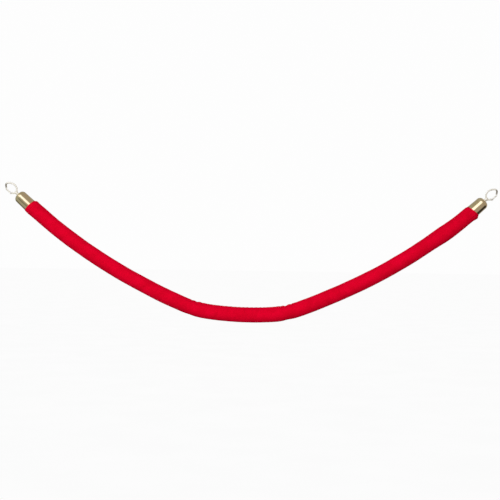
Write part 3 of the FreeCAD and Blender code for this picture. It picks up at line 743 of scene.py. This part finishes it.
FILLING_START = 0.0082  # behind the cap's rim, at the foot of the wooden plug
FILLING_RADIUS = ROPE_RADIUS - SLEEVE_WALL - 0.0008
FILLING_UNEVEN = 0.0003
FILLING_LUMP = 0.009
FILLING_SEED = 55.5
FILLING_SIDES = 48
FILLING_RINGS = 500
BORE_RADIUS = 0.0042
BORE_SPACING = 4  # outer rings for each ring in the bore


def rope_filling():
    """The foam between the plugs, with a bore for the load cord."""
    start, stop = RIM_IN["left"] + FILLING_START, LENGTH - RIM_IN["right"] - FILLING_START
    s, angle = np.meshgrid(np.linspace(start, stop, FILLING_RINGS), angles(FILLING_SIDES), indexing="ij")
    uneven = FILLING_UNEVEN * wave_noise(s, angle, FILLING_LUMP, FILLING_SEED)
    outside = tube_places(s, angle, FILLING_RADIUS + uneven)
    inner_s, inner_angle = s[::BORE_SPACING].copy(), angle[::BORE_SPACING]
    inner_s[-1] = stop
    bore = tube_places(inner_s, inner_angle, np.full_like(inner_s, BORE_RADIUS))
    return walled_tube("foam_filling", outside, bore, MATERIALS["core_filling"])


STRANDS = 3
STRAND_RADIUS = 0.00187
STRAND_OFFSET = STRAND_RADIUS * 1.13  # from the cord's middle to a strand's
STRAND_TWIST = 0.032  # along the cord for one turn of a strand
STRAND_RINGS = 900
STRAND_SIDES = 10
KNOT_DEPTH = 0.0158  # behind the foot of the hook
KNOT_SIZE = 0.00138
KNOT_RISE = 0.0021
KNOT_BAR = 0.0021
KNOT_RINGS = 96


def strand(number):
    """Places on one strand of the load cord, which runs from knot to knot."""
    beyond = CAP_LENGTH - KNOT_DEPTH
    reach = np.linspace(RIM_IN["left"] - beyond, LENGTH - RIM_IN["right"] + beyond, STRAND_RINGS)
    s, angle = np.meshgrid(reach, angles(STRAND_SIDES), indexing="ij")
    turned = 2 * math.pi * (s / STRAND_TWIST + number / STRANDS)
    forward, upward = STRAND_OFFSET * np.cos(turned), STRAND_OFFSET * np.sin(turned)
    return tube_places(s, angle, np.full_like(s, STRAND_RADIUS), forward, upward)


def knot(side):
    """Places on a stopper knot: a closed tube that follows a trefoil about the cap's axis."""
    foot, axis, across = end_frame(side)
    t = angles(KNOT_RINGS)
    line = np.stack([KNOT_SIZE * (np.sin(t) + 2 * np.sin(2 * t)), KNOT_SIZE * (np.cos(t) - 2 * np.cos(2 * t)),
                     -KNOT_RISE * np.sin(3 * t)], axis=1)
    tangent = np.roll(line, -1, axis=0) - np.roll(line, 1, axis=0)
    tangent /= np.linalg.norm(tangent, axis=1)[:, None]
    first = np.cross(tangent, (0, 0, 1))
    first /= np.linalg.norm(first, axis=1)[:, None]
    second = np.cross(tangent, first)
    turn = angles(STRAND_SIDES)[None, :, None]
    grid = line[:, None] + KNOT_BAR * (np.cos(turn) * first[:, None] + np.sin(turn) * second[:, None])
    basis = np.array([tuple(across), tuple(FRONT), tuple(axis)])
    return grid @ basis + np.array(foot - axis * KNOT_DEPTH)


def inner_cord():
    """The load cord: three laid strands with a stopper knot at each end."""
    places, faces = [], []
    strands = [(strand(number), False) for number in range(STRANDS)]
    knots = [(knot(side), True) for side in ENDS]
    for grid, closed in strands + knots:
        rings, sides = grid.shape[:2]
        first = len(places)
        last = first + (rings - 1) * sides
        faces += tube_faces(first, rings, sides)
        if closed:
            around = [(k, (k + 1) % sides) for k in range(sides)]
            faces += [(last + k, last + after, first + after, first + k) for k, after in around]
        else:
            faces.append(tuple(range(first, first + sides))[::-1])
            faces.append(tuple(range(last, last + sides)))
        places += list(grid.reshape(-1, 3))
    return mesh_object("laid_cord", places, faces, MATERIALS["load_cord"])


cover, filling, cord = velvet_cover(), rope_filling(), inner_cord()
for piece, node, slot in ((cover, "velvet_sleeve", "velvet"), (filling, "foam_core", "core_filling"),
                          (cord, "load_cord", "load_cord")):
    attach(piece, "rope")
    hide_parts(node)

# ---------------------------------------------------------------- the gate springs


def wound_spring(side):
    """The gate's spring, whose coil winds up between a leg in the hook's arm and a leg on the gate."""
    node = side + "_gate_spring"
    piece = bpy.data.objects.new(side + "_wound_spring", frame["nodes"][node].data.copy())
    put_in_scene(piece)
    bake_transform(piece)
    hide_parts(node)


for side in ENDS:
    wound_spring(side)

# ---------------------------------------------------------------- floor

FLOOR_DROP = 0.95  # below the hooks, as with posts about a metre tall
FLOOR_RADIUS = 40
FLOOR_SIDES = 96


def add_floor():
    bpy.ops.mesh.primitive_circle_add(vertices=FLOOR_SIDES, radius=FLOOR_RADIUS, fill_type="NGON",
                                      location=(CAMERA_AIM.x, 0, -FLOOR_DROP))
    floor = bpy.context.object
    floor.name = "floor"
    made, n = material("floor")
    where = n.place()
    mottle = n.ramp(n.noise(where, 3, 2), (0.0, (0.97, 0.97, 0.97)), (1.0, (1.0, 1.0, 1.0)))
    glow = n.add("ShaderNodeEmission", {"Color": mottle, "Strength": BACKDROP_LIGHT})
    n.add("ShaderNodeOutputMaterial", {"Surface": glow.outputs[0]})
    floor.data.materials.append(made)
    floor.visible_glossy = False
    floor.visible_diffuse = False


add_floor()
